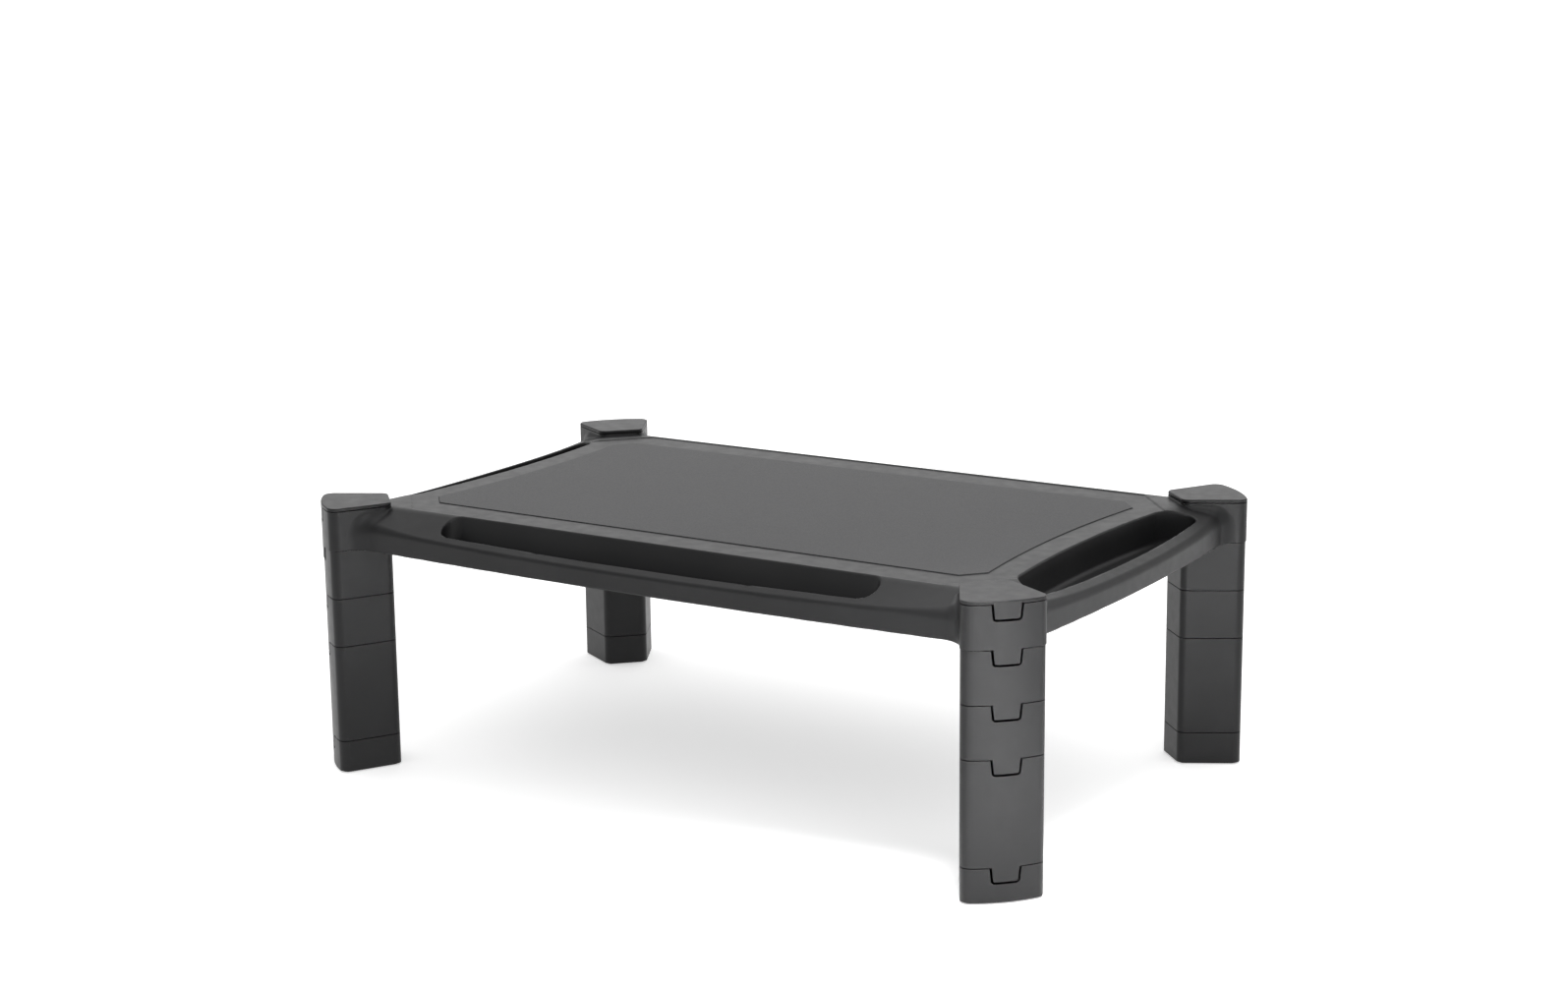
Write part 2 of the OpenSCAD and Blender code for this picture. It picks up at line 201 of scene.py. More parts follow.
def prism(name, outline, low, high):
    """A closed upright solid over an outline, between two heights."""
    shape = bmesh.new()
    bottom = [shape.verts.new((x, y, low)) for x, y in outline]
    top = [shape.verts.new((x, y, high)) for x, y in outline]
    shape.faces.new(bottom[::-1])
    shape.faces.new(top)
    for i in range(len(bottom)):
        k = (i + 1) % len(bottom)
        shape.faces.new((bottom[i], bottom[k], top[k], top[i]))
    bmesh.ops.recalc_face_normals(shape, faces=shape.faces)
    mesh = bpy.data.meshes.new(name)
    shape.to_mesh(mesh)
    shape.free()
    piece = bpy.data.objects.new(name, mesh)
    bpy.context.scene.collection.objects.link(piece)
    return piece


def column(name, inset, low, high):
    return prism(name, section(inset), low, high)


def block(name, low, high):
    """A rectangular solid between two corners."""
    outline = [(low[0], low[1]), (high[0], low[1]), (high[0], high[1]), (low[0], high[1])]
    return prism(name, outline, low[2], high[2])


def worked(piece):
    """Works the piece's modifiers into its mesh."""
    bpy.context.view_layer.update()
    graph = bpy.context.evaluated_depsgraph_get()
    mesh = bpy.data.meshes.new_from_object(piece.evaluated_get(graph))
    piece.modifiers.clear()
    piece.data = mesh
    return piece


def combine(piece, tool, operation):
    """Adds a tool to the piece or cuts it away, and uses the tool up."""
    step = piece.modifiers.new(operation, "BOOLEAN")
    step.operation = operation
    step.solver = "EXACT"
    step.object = tool
    worked(piece)
    bpy.data.objects.remove(tool)
    return piece


def eased(piece, radius, steps=3, angle=math.radians(32)):
    """Rounds the piece's edges, as a mould does, and keeps its faces flat in the light."""
    step = piece.modifiers.new("edges", "BEVEL")
    step.width = radius
    step.segments = steps
    step.limit_method = "ANGLE"
    step.angle_limit = angle
    step.use_clamp_overlap = True
    worked(piece)
    for face in piece.data.polygons:
        face.use_smooth = True
    step = piece.modifiers.new("normals", "WEIGHTED_NORMAL")
    step.weight = 80
    return worked(piece)


# ---- Latch tongues ----
# Each module hangs a tapered tongue over the one below it. The tongue springs into a notch at the top of that
# module's crowned face, and pressing it in frees the module. A gap of a little over 1 mm shows round it.
tongue_w = 15.2 * mm
tongue_tip = 13.9 * mm
tongue_h = 7.6 * mm
tongue_round = 1.1 * mm
latch_gap = 1.3 * mm
lap = 1 * mm
tongue_steps = 6


def tongue_outline(grow):
    """The tongue seen from outside, hanging from z = 0, grown by the gap for its notch."""
    root = tongue_w / 2 + grow
    tip = tongue_tip / 2 + grow
    low = -tongue_h - grow
    r = tongue_round + grow
    slope = math.atan2(root - tip, -low)
    half = np.concatenate([
        [[root, 3 * lap], [root, 0]],
        arc([tip - r, low + r], r, slope, -math.pi / 2, tongue_steps),
    ])
    return np.concatenate([half, (half * [-1, 1])[::-1]])


def tongue_bar(name, grow, z):
    """A bar of the tongue's outline, from the middle of the column out past its face."""
    bar = prism(name, tongue_outline(grow), column_l / 2, column_l + 4 * lap)
    turn = Matrix(((0, 0, 1), (1, 0, 0), (0, 1, 0))).to_4x4()
    bar.data.transform(Matrix.Translation((0, 0, z)) @ turn)
    return bar


# ---- Modules ----
# A riser is a tube with a floor plate near its foot, an open socket above and a spigot below that slides into
# the socket of the next module. It is all one moulding, so the tongue runs on from the face without a line.
wall = 2.6 * mm
plate_t = 2.5 * mm
spigot_h = 12 * mm
spigot_t = 1.8 * mm
fit_play = 0.35 * mm
seam_gap = 0.5 * mm
edge_round = 0.3 * mm


def add_tongue(piece, inset):
    """Trims the foot of a column to its seam, and leaves the tongue hanging below it."""
    reach = 2 * column_l
    skirt = block("skirt", (-reach, -reach, -reach), (reach, reach, seam_gap))
    combine(skirt, tongue_bar("tongue", 0, 0), "DIFFERENCE")
    combine(piece, skirt, "DIFFERENCE")
    return combine(piece, column("behind", wall + inset, -reach, seam_gap + sharp), "DIFFERENCE")


def add_spigot(piece, length):
    """A thin tube below the floor plate, open behind the tongue so that the tongue can be pressed in."""
    spigot = column("spigot", wall + fit_play, -length, lap)
    combine(spigot, column("bore", wall + fit_play + spigot_t, -2 * length, 0), "DIFFERENCE")
    half = tongue_w / 2 + lap
    slot = block("slot", (column_l / 2, -half, -2 * length), (2 * column_l, half, 0))
    combine(spigot, slot, "DIFFERENCE")
    return combine(piece, spigot, "UNION")


def riser(name, height, inset=0.0):
    """A module of that height, standing on z = 0."""
    piece = column(name, inset, -tongue_h - lap, height)
    add_tongue(piece, inset)
    combine(piece, column("socket", wall, plate_t, height + lap), "DIFFERENCE")
    combine(piece, tongue_bar("notch", latch_gap, height), "DIFFERENCE")
    add_spigot(piece, spigot_h)
    return eased(piece, edge_round)


corners = {"front_left": (-1, -1), "front_right": (1, -1), "rear_left": (-1, 1), "rear_right": (1, 1)}
foot_low, foot_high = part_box("foot_rear_right")
turned = section(0) @ np.array([[1, 1], [-1, 1]]) * math.sqrt(0.5)
post_x = foot_high.x - turned[:, 0].max()
post_y = foot_high.y - turned[:, 1].max()


def at_corner(name, mesh, corner, z):
    """A copy of a part in its place on one of the four columns."""
    side, end = corners[corner]
    piece = bpy.data.objects.new(name, mesh.copy())
    bpy.context.scene.collection.objects.link(piece)
    turn = Matrix.Rotation(math.atan2(end, side), 4, "Z")
    piece.data.transform(Matrix.Translation((side * post_x, end * post_y, z)) @ turn)
    return piece


def place_all(kind, pattern, z):
    """Puts a copy of a part on each column, riding on its own body, and takes the pattern away."""
    pattern.data.materials.clear()
    pattern.data.materials.append(plastic)
    for corner in corners:
        node = f"{kind}_{corner}"
        piece = at_corner(f"{node}_moulding", pattern.data, corner, z)
        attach(piece, node)
        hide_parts(node)
    bpy.data.objects.remove(pattern)


tall_z = foot_high.z
middle_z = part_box("tall_riser_rear_right")[1].z
upper_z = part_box("middle_riser_rear_right")[1].z
base_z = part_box("upper_riser_rear_right")[1].z
cap_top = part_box("cap_rear_right")[1].z

stack = {
    "tall_riser": (tall_z, middle_z),
    "middle_riser": (middle_z, upper_z),
    "upper_riser": (upper_z, base_z),
}
for kind, (bottom, top) in stack.items():
    place_all(kind, riser(kind, top - bottom), bottom)

# ---- Feet ----
# The lowest module has no spigot. Its underside is recessed for a rubber pad, and its bottom edge is rounded
# more than a seam's, because it is the edge that a user sees against the desk.
pad_in = 2 * mm
pad_play = 0.1 * mm
foot_round = 0.5 * mm
pad_low, pad_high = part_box("pad_rear_right")
foot = column("foot", 0, foot_low.z, tall_z)
combine(foot, column("socket", wall, pad_high.z + plate_t, tall_z + lap), "DIFFERENCE")
combine(foot, column("recess", pad_in - pad_play, -lap, pad_high.z), "DIFFERENCE")
combine(foot, tongue_bar("notch", latch_gap, tall_z), "DIFFERENCE")
eased(foot, foot_round)
place_all("foot", foot, 0)

# ---- Rubber pads ----
# A die-cut pad of black rubber is glued into the recess of each foot. It stands out by a millimetre, grips
# the desk and keeps the moulding off it.


def pad_rubber():
    crumb_size = 0.5 * mm
    material, shader, add, link = new_material("pad_rubber")
    crumb = grain(add, link, crumb_size, detail=3)
    link(tinted(add, link, crumb, (0.010, 0.010, 0.010), (0.020, 0.020, 0.020)), shader.inputs["Base Color"])
    link(between(add, link, crumb, 0.75, 0.9), shader.inputs["Roughness"])
    link(bumped(add, link, crumb, 0.08 * mm, 0.5), shader.inputs["Normal"])
    return material


rubber = pad_rubber()
pattern = eased(column("pad", pad_in, pad_low.z, pad_high.z), 0.4 * mm)
pattern.data.materials.append(rubber)
for corner in corners:
    pad = at_corner(f"pad_{corner}_rubber", pattern.data, corner, 0)
    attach(pad, f"foot_{corner}")
    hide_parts(f"pad_{corner}")
bpy.data.objects.remove(pattern)

# ---- Posts of the platform ----
# Each corner of the platform ends in a short post, a little proud of the modules below. It has the same
# socket on top, for the cap, and the same spigot, tongue and notch as a riser.
post_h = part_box("platform")[1].z - base_z
post = riser("post", post_h, -post_proud)
post.data.materials.append(plastic)
for corner in corners:
    piece = at_corner(f"platform_post_{corner}", post.data, corner, base_z)
    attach(piece, "platform")
bpy.data.objects.remove(post)

# ---- Platform ----
# The platform is one thin-walled moulding: a deck with a sunken panel, four slopes that fall to a bowed rim,
# an apron below it, two side pockets and a pen tray. Every wall flows into the posts through wide fillets.
body_w = 486 * mm
body_d = 312 * mm
bow_x = 4.5 * mm
bow_y = 6 * mm
deck_h = 23 * mm
deck_t = 2.8 * mm
rim_h_y = 11 * mm
rim_h_x = 12.3 * mm
rim_rise = 2.4 * mm
rim_under = 0.2 * mm
sweep_run = 14 * mm
sweep_power = 0.8
slope_x = 37.5 * mm
slope_y = 26 * mm
deck_hollow = 10 * mm
panel_step = 0.6 * mm
border_w = 3 * mm
crease_x = 23 * mm
crease_y = 24 * mm
deck_in = 2 * mm
rim_w_x = 9.5 * mm
rim_w_y = 6 * mm
pocket_gap = 26 * mm
tray_gap = 57 * mm
tray_bite = 1 * mm
tray_round = 10 * mm
tray_floor = 3 * mm

half_w = body_w / 2
half_d = body_d / 2


def placed(point, v):
    """A point of a post's section in the rear right quarter: v is 1 along the rear, -1 along the side."""
    return np.array([post_x + (point[0] - v * point[1]) * math.sqrt(0.5),
                     post_y + (point[0] + v * point[1]) * math.sqrt(0.5)])


rear_nose, rear_tip = placed(nose_corner, 1), placed(tip_corner, 1)
side_nose, side_tip = placed(nose_corner, -1), placed(tip_corner, -1)
rear_knee = rear_nose + (rear_tip - rear_nose) * (half_d - bow_y - rear_nose[1]) / (rear_tip - rear_nose)[1]
side_knee = side_nose + (side_tip - side_nose) * (half_w - bow_x - side_nose[0]) / (side_tip - side_nose)[0]


def rear_edge(x):
    return half_d - bow_y * (x / rear_knee[0]) ** 2


def side_edge(y):
    return half_w - bow_x * (y / side_knee[1]) ** 2


def deck_side(y):
    return half_w - slope_x + deck_hollow * (y / post_y) ** 2


def sweep(x, y, tip, height):
    """The rise of the rim towards the outer corner of a post."""
    away = np.hypot(x - tip[0], y - tip[1]) / sweep_run
    return (post_h - height - rim_rise - rim_under) * np.exp(-away**sweep_power)


def rear_rim(x):
    return rim_h_y + rim_rise * (x / rear_knee[0]) ** 2 + sweep(x, rear_edge(x), rear_tip, rim_h_y)


def side_rim(y):
    return rim_h_x + rim_rise * (y / side_knee[1]) ** 2 + sweep(side_edge(y), y, side_tip, rim_h_x)


def met(a, b, r):
    """Where both solids are, with the edge between them rounded to r. A value below 0 is inside a solid."""
    return np.minimum(np.maximum(a, b), -r) + np.hypot(np.maximum(a + r, 0), np.maximum(b + r, 0))


def merged(a, b, r):
    """Where either solid is, with a fillet of radius r between them."""
    return -met(-a, -b, r)


def soft_max(a, b, k):
    """The larger of two values, eased over the band where they differ by less than k."""
    near = np.maximum(1 - np.abs(a - b) / k, 0)
    return np.maximum(a, b) + k / 4 * near**2


def eased_step(t):
    t = np.clip(t, 0, 1)
    return t * t * (3 - 2 * t)


crease_a = np.array([post_x - crease_x, half_d - slope_y - border_w])
crease_b = np.array([post_x + deck_in, post_y - crease_y])
crease_n = np.array([crease_a[1] - crease_b[1], crease_b[0] - crease_a[0]])
crease_n = crease_n / np.hypot(*crease_n)
crease_w = 1.3 * mm
crest = 1.3 * mm


def panel_edge(x, y):
    """Distance outside the sunken panel, whose corners are cut by a crease."""
    cut = (x - crease_a[0]) * crease_n[0] + (y - crease_a[1]) * crease_n[1]
    return np.maximum(y - crease_a[1], cut)


def top_height(x, y):
    """The height of the upper face over a point of the first quarter, before the trays are sunk in it."""
    level = deck_h + panel_step * eased_step(panel_edge(x, y) / crease_w + 0.5)
    rim_y, rim_x = rear_rim(np.minimum(x, rear_tip[0])), side_rim(np.minimum(y, side_tip[1]))
    over_y = (rear_edge(x) - y) / (rear_edge(x) - (half_d - slope_y))
    over_x = (side_edge(y) - x) / (side_edge(y) - deck_side(y))
    rear = rim_y + (deck_h + panel_step - rim_y) * over_y
    side = rim_x + (deck_h + panel_step - rim_x) * over_x
    return -soft_max(soft_max(-rear, -side, crest), -level, crest)


def post_edge(x, y):
    """Distance outside a post's section."""
    u = ((x - post_x) + (y - post_y)) * math.sqrt(0.5)
    v = np.abs((y - post_y) - (x - post_x)) * math.sqrt(0.5)
    flank = -(u - nose_corner[0]) * side_in[0] - (v - nose_corner[1]) * side_in[1]
    crown = np.hypot(u - crown_c[0], v) - crown_r
    return met(met(crown, flank, round_out), -u, round_in) - post_proud, u, v


def pocket_edge(x, y):
    """Distance outside a side pocket."""
    a_y = post_y - pocket_gap
    b_y = a_y + tray_round
    a = np.array([deck_side(a_y) - tray_bite, a_y])
    b = np.array([side_edge(b_y) - rim_w_x, b_y])
    n = np.array([a[1] - b[1], b[0] - a[0]]) / np.hypot(*(b - a))
    end = (x - a[0]) * n[0] + (y - a[1]) * n[1]
    across = np.maximum(deck_side(y) - tray_bite - x, x - side_edge(y) + rim_w_x)
    return met(across, end, 0.8 * tray_round)


def pen_edge(x, y, z):
    """Distance outside the pen tray, which lies along the front only and has a leaning rear wall."""
    rear_wall = half_d - slope_y - tray_bite + y + pen_lean * (deck_h - z)
    across = np.maximum(-y - rear_edge(x) + rim_w_y, rear_wall)
    return met(across, x - (post_x - tray_gap), 0.85 * tray_round)


rim_round = 1.5 * mm
side_round = 3.2 * mm
shoulder_round = 7 * mm
shoulder_run = 16 * mm
lip_round = 0.9 * mm
tray_fillet = 3 * mm
draft = 0.03
pen_lean = 0.3
core_depth = 2.3 * mm
post_skin = 0.04 * mm
fillet_most = 8.5 * mm
slope_share = 0.93


def hollow_under(x, y, z, height):
    """The open underside, less the walls of the trays."""
    ax, ay = np.abs(x), np.abs(y)
    plan = np.maximum(ay - rear_edge(ax), ax - side_edge(ay))
    hollow = met(plan + wall, (z - height) * slope_share + deck_t, 2 * mm)
    trays = np.minimum(pocket_edge(ax, ay), pen_edge(ax, y, z))
    return met(hollow, wall - trays, 1.5 * mm)


def platform_body(x, y, z):
    """Below 0 inside the moulding, in metres. z is measured from the bottom of the apron."""
    ax, ay = np.abs(x), np.abs(y)
    height = top_height(ax, ay)
    post, u, v = post_edge(ax, ay)
    plan = np.maximum(np.maximum(ay - rear_edge(ax), ax - side_edge(ay)), u - 0.6 * column_l)
    upper = (z - height) * slope_share
    along = np.where(ax - side_edge(ay) > ay - rear_edge(ax), side_round, rim_round)
    soft = along + (shoulder_round - along) * np.exp(-np.maximum(post, 0) / shoulder_run)
    shoulder = met(plan, upper, soft)
    fillet = np.clip(post_h - 0.4 * mm - height, 0.4 * mm, fillet_most)
    body = met(merged(shoulder, post + post_skin, fillet), -z, 0.7 * mm)
    body = np.maximum(body, z - post_h + 2 * post_skin)
    trays = np.minimum(pocket_edge(ax, ay), pen_edge(ax, y, z)) - draft * (z - 0.8 * deck_h)
    body = met(body, -met(trays, tray_floor - z, tray_fillet), lip_round)
    under = np.maximum(hollow_under(x, y, z, height), -post)
    body = met(body, -under, 0.5 * mm)
    window = np.maximum(column_l - 8 * mm - u, v - tongue_w / 2 - 4 * latch_gap)
    return np.maximum(np.maximum(body, -post - core_depth), -window)


def grid_lines(reach, fine_from, fine, coarse):
    """Lines across the whole platform, close together outside fine_from and wider in the middle."""
    outer = np.linspace(fine_from, reach, round((reach - fine_from) / fine) + 1)
    inner = np.linspace(-fine_from, fine_from, round(2 * fine_from / coarse) + 1)
    return np.concatenate([-outer[:0:-1], inner, outer[1:]])


def skinned(xs, ys, zs, field):
    """Points and four-sided faces of the surface where a field on a grid passes through 0."""
    solid = field < 0
    shape = [n - 1 for n in field.shape]
    total = np.zeros(shape)
    sums = [np.zeros(shape) for _ in range(3)]
    lines = (xs[:, None, None], ys[None, :, None], zs[None, None, :])
    crossings = []
    for axis in range(3):
        near = [slice(None)] * 3
        far = [slice(None)] * 3
        near[axis], far[axis] = slice(0, -1), slice(1, None)
        near, far = tuple(near), tuple(far)
        hit = solid[near] != solid[far]
        a, b = field[near], field[far]
        share = np.where(hit, a / np.where(hit, a - b, 1), 0)
        spots = []
        for other in range(3):
            line = np.broadcast_to(lines[other], field.shape)
            spots.append(np.where(hit, line[near] + share * (line[far] - line[near]), 0))
        sides = [k for k in range(3) if k != axis]
        for p in (0, 1):
            for q in (0, 1):
                window = [slice(None)] * 3
                window[sides[0]] = slice(p, p + shape[sides[0]])
                window[sides[1]] = slice(q, q + shape[sides[1]])
                window = tuple(window)
                total += hit[window]
                for k in range(3):
                    sums[k] += spots[k][window]
        crossings.append((hit, solid[near]))
    used = total > 0
    number = np.full(shape, -1)
    number[used] = np.arange(used.sum())
    points = np.stack([s[used] / total[used] for s in sums], 1)
    faces = []
    for axis, (hit, inside) in enumerate(crossings):
        at = np.stack(np.nonzero(hit), 1)
        out = inside[hit]
        one, two = np.eye(3, dtype=int)[(axis + 1) % 3], np.eye(3, dtype=int)[(axis + 2) % 3]
        ring = [number[tuple((at - o).T)] for o in (one + two, two, 0 * one, one)]
        quad = np.stack(ring, 1)
        quad[~out] = quad[~out][:, ::-1]
        faces.append(quad)
    return points, np.concatenate(faces)


def slope_of(body, points):
    """How the field changes along x, y and z at each point."""
    h = 0.02 * mm
    out = []
    for k in range(3):
        step = np.eye(3)[k] * h
        out.append((body(*(points + step).T) - body(*(points - step).T)) / (2 * h))
    return np.stack(out, 1)


def drawn_to_surface(body, points, rounds):
    """Moves each point straight onto the surface."""
    for _ in range(rounds):
        slope = slope_of(body, points)
        length = np.maximum((slope**2).sum(1), 0.05)
        move = (body(*points.T) / length)[:, None] * slope
        far = np.linalg.norm(move, axis=1, keepdims=True)
        points = points - move * np.minimum(1, 0.5 * mm / np.maximum(far, 1e-9))
    return points


fine = 1.0 * mm
coarse = 3.5 * mm
fine_from_x = 127 * mm
fine_from_y = 74 * mm
levels_low = 21
levels_high = 13
level_split = 19 * mm
margin = 1.3 * mm
low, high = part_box("platform")
xs = grid_lines(high.x + margin, fine_from_x, fine, coarse)
ys = grid_lines(high.y + margin, fine_from_y, fine, coarse)
zs = np.concatenate([
    np.linspace(-margin, level_split, levels_low),
    np.linspace(level_split + 0.5 * mm, post_h + margin, levels_high),
])
field = platform_body(xs[:, None, None], ys[None, :, None], zs[None, None, :])
points, faces = skinned(xs, ys, zs, field)
points = drawn_to_surface(platform_body, points, 2)
mesh = bpy.data.meshes.new("platform_moulding")
mesh.from_pydata(points.tolist(), [], faces.tolist())
platform = bpy.data.objects.new("platform_moulding", mesh)
bpy.context.scene.collection.objects.link(platform)
step = platform.modifiers.new("thin", "DECIMATE")
most_faces = 180000
step.ratio = min(1, most_faces / (2 * len(faces)))
worked(platform)
points = np.zeros(len(platform.data.vertices) * 3)
platform.data.vertices.foreach_get("co", points)
points = drawn_to_surface(platform_body, points.reshape(-1, 3), 2)
slope = slope_of(platform_body, points)
slope = slope / np.maximum(np.linalg.norm(slope, axis=1, keepdims=True), 1e-9)
platform.data.vertices.foreach_set("co", (points + [0, 0, base_z]).ravel())
for face in platform.data.polygons:
    face.use_smooth = True
platform.data.normals_split_custom_set_from_vertices(slope.tolist())
platform.data.update()
platform.data.materials.append(plastic)
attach(platform, "platform")
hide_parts("platform")

# ---- Ribs ----
# A grid of tapered ribs is moulded with the deck, to stop it sagging under a monitor. Each rib runs from wall
# to wall, its top buried in the deck and its lower edge level.
rib_h = 6 * mm
rib_root = 2 * mm
rib_tip = 1.4 * mm
rib_rows = 7
rib_columns = 11
rib_bite = 1.3 * mm
rib_low = deck_h - 3 * mm - rib_h


def rib(name, centre, along):
    """One rib: along is 0 for a rib that runs along X at that y, and 1 for one along Y at that x."""
    t = np.arange(-half_w, half_w, 1 * mm)
    x, y = (t, 0 * t + centre) if along == 0 else (0 * t + centre, t)
    height = top_height(np.abs(x), np.abs(y))
    post = post_edge(np.abs(x), np.abs(y))[0]
    room = np.maximum(hollow_under(x, y, rib_low + lap + 0 * t, height), -post)
    clear = (room < 0.8 * mm) & (height - rib_bite > rib_low + lap)
    middle = len(t) // 2
    first = middle - np.argmin(clear[middle::-1]) + 1
    last = middle + np.argmin(clear[middle:]) - 1
    shape = bmesh.new()
    rings = []
    for i in range(first, last + 1):
        ring = []
        for side, z in ((-1, 0), (1, 0), (1, 1), (-1, 1)):
            half = (rib_tip if z == 0 else rib_root) / 2
            place = (t[i], centre + side * half) if along == 0 else (centre - side * half, t[i])
            level = rib_low if z == 0 else height[i] - rib_bite
            ring.append(shape.verts.new((*place, base_z + level)))
        rings.append(ring)
    for a, b in zip(rings, rings[1:]):
        for k in range(4):
            m = (k + 1) % 4
            shape.faces.new((a[k], b[k], b[m], a[m]))
    shape.faces.new(rings[0])
    shape.faces.new(rings[-1][::-1])
    bmesh.ops.recalc_face_normals(shape, faces=shape.faces)
    bmesh.ops.dissolve_limit(shape, angle_limit=0.002, verts=shape.verts, edges=shape.edges)
    mesh = bpy.data.meshes.new(name)
    shape.to_mesh(mesh)
    shape.free()
    piece = bpy.data.objects.new(name, mesh)
    bpy.context.scene.collection.objects.link(piece)
    piece.data.materials.append(plastic)
    eased(piece, 0.3 * mm, steps=2)
    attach(piece, "platform")


for i in range(1, rib_columns):
    rib(f"platform_rib_across_{i}", body_w * (i / rib_columns - 0.5), 1)
for i in range(1, rib_rows):
    rib(f"platform_rib_along_{i}", body_d * (i / rib_rows - 0.5), 0)

# ---- Mat ----
# A thin mat of dark foam rubber is glued into a shallow seat in the deck, to stop what stands on it from
# sliding. Its corners are cut at an angle and its face has a fine pebbled grain.
mat_in_x = 18.5 * mm
mat_cut = 13 * mm
mat_steps = 16


def mat_rubber():
    pebble_size = 0.9 * mm
    tone_size = 30 * mm
    material, shader, add, link = new_material("mat_rubber")
    pebble = grain(add, link, pebble_size, detail=3, roughness=0.6)
    tone = grain(add, link, tone_size)
    colour = add("ShaderNodeMix", data_type="RGBA", blend_type="MULTIPLY")
    colour.inputs["Factor"].default_value = 1
    link(tinted(add, link, pebble, (0.014, 0.014, 0.015), (0.032, 0.032, 0.034)), colour.inputs["A"])
    link(tinted(add, link, tone, (0.9, 0.9, 0.9), (1.0, 1.0, 1.0)), colour.inputs["B"])
    link(colour.outputs["Result"], shader.inputs["Base Color"])
    link(between(add, link, pebble, 0.46, 0.58), shader.inputs["Roughness"])
    link(bumped(add, link, pebble, 0.12 * mm, 0.45), shader.inputs["Normal"])
    shader.inputs["Specular IOR Level"].default_value = 0.38
    return material


mat_low, mat_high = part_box("mat")
mat_y = mat_high.y - mat_cut
ys = np.linspace(-mat_y, mat_y, 2 * mat_steps + 1)
right = np.stack([deck_side(ys) - mat_in_x, ys], 1)
chamfer = np.array([[deck_side(mat_high.y) - mat_in_x - mat_cut, mat_high.y]])
half = np.concatenate([chamfer * [1, -1], right, chamfer])
mat = prism("mat_sheet", np.concatenate([half, (half * [-1, 1])[::-1]]), mat_low.z, mat_high.z)
eased(mat, 0.25 * mm, steps=2)
mat.data.materials.append(mat_rubber())
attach(mat, "platform")
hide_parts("mat")

# A thin strip of dark rubber round the mat is painted shade: it stands for the shadow in the narrow gap
# between the mat and its seat, which this deck does not have.
gap_shade_w = 0.45 * mm
gap_shade_up = 0.04 * mm


def grown(outline, by):
    """An outline with each side moved out by that much, for an outline that turns left all the way round."""
    before, after = np.roll(outline, 1, 0), np.roll(outline, -1, 0)
    a, b = outline - before, after - outline
    a = a / np.linalg.norm(a, axis=1, keepdims=True)
    b = b / np.linalg.norm(b, axis=1, keepdims=True)
    out_a, out_b = np.stack([a[:, 1], -a[:, 0]], 1), np.stack([b[:, 1], -b[:, 0]], 1)
    return outline + by * (out_a + out_b) / (1 + (out_a * out_b).sum(1, keepdims=True))


outline = np.concatenate([half, (half * [-1, 1])[::-1]])
# The strip, grown a little past the mat's outline, paints that shade just above the deck.
gap_shade = prism("mat_gap_painted_shade", grown(outline, gap_shade_w), mat_low.z, base_z + deck_h + gap_shade_up)
gap_shade.data.materials.append(rubber)
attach(gap_shade, "platform")

# ---- Caps ----
# A flat cap closes the socket of each post. It has a short spigot, and a tongue of its own that snaps into
# the notch of the post, and its top edge is rounded over.
cap_z = base_z + post_h
cap_spigot_h = 6 * mm
cap_edge = 0.8 * mm
cap = column("cap", -post_proud, -tongue_h - lap, cap_top - cap_z)
add_tongue(cap, -post_proud)
add_spigot(cap, cap_spigot_h)
rim = bmesh.new()
rim.from_mesh(cap.data)
top_edges = [e for e in rim.edges if all(abs(v.co.z - (cap_top - cap_z)) < 0.01 * mm for v in e.verts)]
bmesh.ops.bevel(rim, geom=top_edges, offset=cap_edge, segments=5, profile=0.5, affect="EDGES")
rim.to_mesh(cap.data)
rim.free()
eased(cap, 0.25 * mm)
place_all("cap", cap, cap_z)

# ---- Studio ----
# The object stands on a broad pale floor under soft boxes, seen from the front right and a little above.
floor_r = 30
cloud_size = 0.4
paper = bpy.data.meshes.new("floor")
shape = bmesh.new()
bmesh.ops.create_circle(shape, cap_ends=True, radius=floor_r, segments=96)
shape.to_mesh(paper)
shape.free()
floor = bpy.data.objects.new("floor", paper)
bpy.context.scene.collection.objects.link(floor)
material, shader, add, link = new_material("floor_paper")
cloud = grain(add, link, cloud_size)
link(tinted(add, link, cloud, (0.86, 0.86, 0.86), (0.88, 0.88, 0.88)), shader.inputs["Base Color"])
shader.inputs["Roughness"].default_value = 0.9
shader.inputs["Specular IOR Level"].default_value = 0.1
shader.inputs["Emission Color"].default_value = (1, 1, 1, 1)
shader.inputs["Emission Strength"].default_value = 0.5
floor.data.materials.append(material)

world = bpy.data.worlds.new("studio")
bpy.context.scene.world = world
world.use_nodes = True
world.node_tree.nodes["Background"].inputs["Color"].default_value = (1, 1, 1, 1)
world.node_tree.nodes["Background"].inputs["Strength"].default_value = 0.6


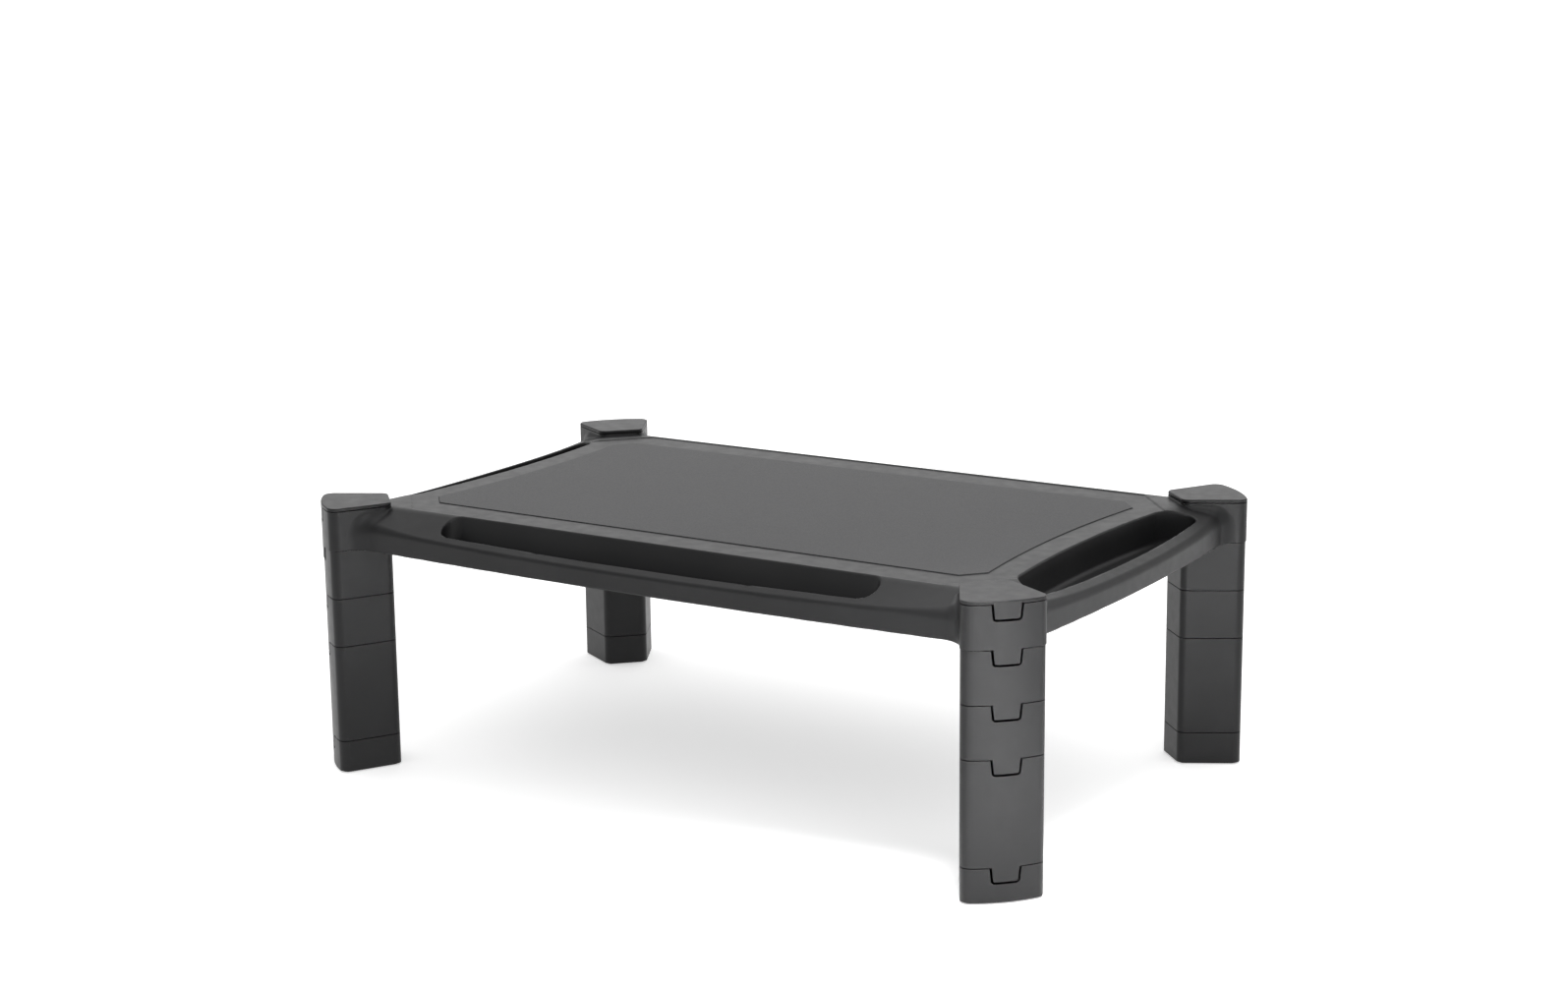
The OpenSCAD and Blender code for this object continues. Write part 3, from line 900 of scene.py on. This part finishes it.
def soft_box(name, azimuth, away, height, size, power):
    """A large lamp that faces the object from that side: azimuth 0 is straight in front, 90 the right."""
    lamp = bpy.data.lights.new(name, "AREA")
    lamp.shape = "RECTANGLE"
    lamp.size, lamp.size_y = size
    lamp.energy = power
    turn = math.radians(azimuth)
    place = Vector((math.sin(turn) * away, -math.cos(turn) * away, height))
    piece = bpy.data.objects.new(name, lamp)
    piece.location = place
    piece.rotation_euler = (Vector((0, 0, 0.1)) - place).to_track_quat("-Z", "Y").to_euler()
    piece.visible_camera = False
    bpy.context.scene.collection.objects.link(piece)
    return piece


soft_box("key_box", 50, 1.7, 1.5, (1.3, 1.1), 12)
soft_box("side_box", 140, 2.0, 0.9, (1.4, 0.9), 1.5)
soft_box("back_box", 212, 2.2, 0.8, (2.4, 0.7), 5)
# A lamp that shines down on the paper in front of one corner, whose glow the crowned faces mirror.
glow = soft_box("paper_box", 53, 0.82, 0.8, (0.25, 0.8), 10)
glow.rotation_euler = (0, 0, math.radians(53))
glow.data.spread = math.radians(55)
sky = bpy.data.lights.new("sky_box", "SUN")
sky.energy = 1.0
sky.angle = math.radians(70)
piece = bpy.data.objects.new("sky_box", sky)
piece.rotation_euler = (math.radians(-12), math.radians(-8), 0)
bpy.context.scene.collection.objects.link(piece)

# The camera stands where someone at the desk's front right has their eye, and looks the same way.
focal = 62.1886
eye = (0.8685, -1.3601, 0.5272)
azimuth, elevation, roll = math.radians(32.479), math.radians(12.528), math.radians(-0.629)
level = math.cos(elevation)
back = Vector((math.sin(azimuth) * level, -math.cos(azimuth) * level, math.sin(elevation)))
right = (-back).cross(Vector((0, 0, 1))).normalized()
up = right.cross(-back)
right, up = math.cos(roll) * right + math.sin(roll) * up, math.cos(roll) * up - math.sin(roll) * right
lens = bpy.data.cameras.new("camera")
lens.sensor_width = 36
lens.lens = focal
lens.clip_end = 100
camera = bpy.data.objects.new("camera", lens)
turn = Matrix((right, up, back)).transposed().to_4x4()
camera.matrix_world = Matrix.Translation(eye) @ turn
bpy.context.scene.collection.objects.link(camera)
bpy.context.scene.camera = camera
bpy.context.scene.view_settings.view_transform = "Standard"

bpy.context.view_layer.update()
